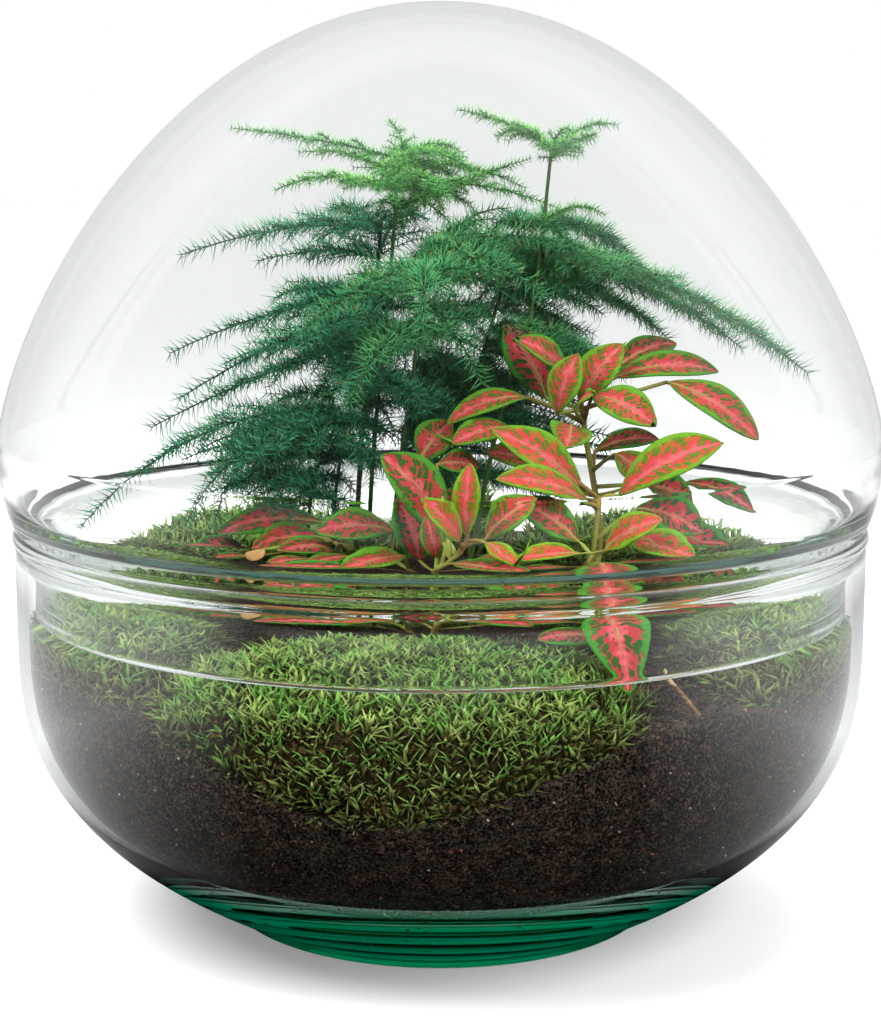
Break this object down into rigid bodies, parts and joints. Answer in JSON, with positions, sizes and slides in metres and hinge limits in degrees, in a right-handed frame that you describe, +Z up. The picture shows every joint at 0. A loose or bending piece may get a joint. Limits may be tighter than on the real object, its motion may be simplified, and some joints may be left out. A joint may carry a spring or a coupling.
{
  "type": "glass plant terrarium",
  "caption": "Round glass bowl of soil and moss with a lace fern and a red-netted nerve plant, closed by an egg-shaped glass dome that rests on its rim.",
  "frame": {"origin": "middle of the bowl's flat base", "axes": "+Z up through the dome's crown, -Y towards the front where the moss and the hanging leaf show"},
  "size_m": [0.252, 0.252, 0.261],
  "materials": {
    "green_glass": "clear blown glass, emerald green in the thick base",
    "clear_glass": "clear blown glass with a faint grey-green edge",
    "potting_soil": "damp crumbly potting soil",
    "moss": "live tufted moss",
    "nerve_leaf": "soft leaf, coral net on green",
    "young_fern": "fine light green needles",
    "dark_fern": "fine dark green needles",
    "dry_wood": "dry tan twig"
  },
  "bodies": {
    "root": {"glass_bowl": "green_glass", "glass_dome": "clear_glass", "soil": "potting_soil", "moss_front": "moss", "moss_left": "moss", "moss_right": "moss", "moss_rear_left": "moss", "moss_rear_right": "moss", "moss_back": "moss", "nerve_plant_top": "nerve_leaf", "nerve_plant_middle": "nerve_leaf", "nerve_plant_front": "nerve_leaf", "nerve_plant_left": "nerve_leaf", "nerve_plant_trailing": "nerve_leaf", "fern_top": "young_fern", "fern_tall": "young_fern", "fern_left_mid": "dark_fern", "fern_left": "dark_fern", "fern_low": "dark_fern", "fern_right": "dark_fern", "fern_centre": "dark_fern", "fern_rear": "dark_fern", "dry_twig": "dry_wood"}
  },
  "joints": []
}
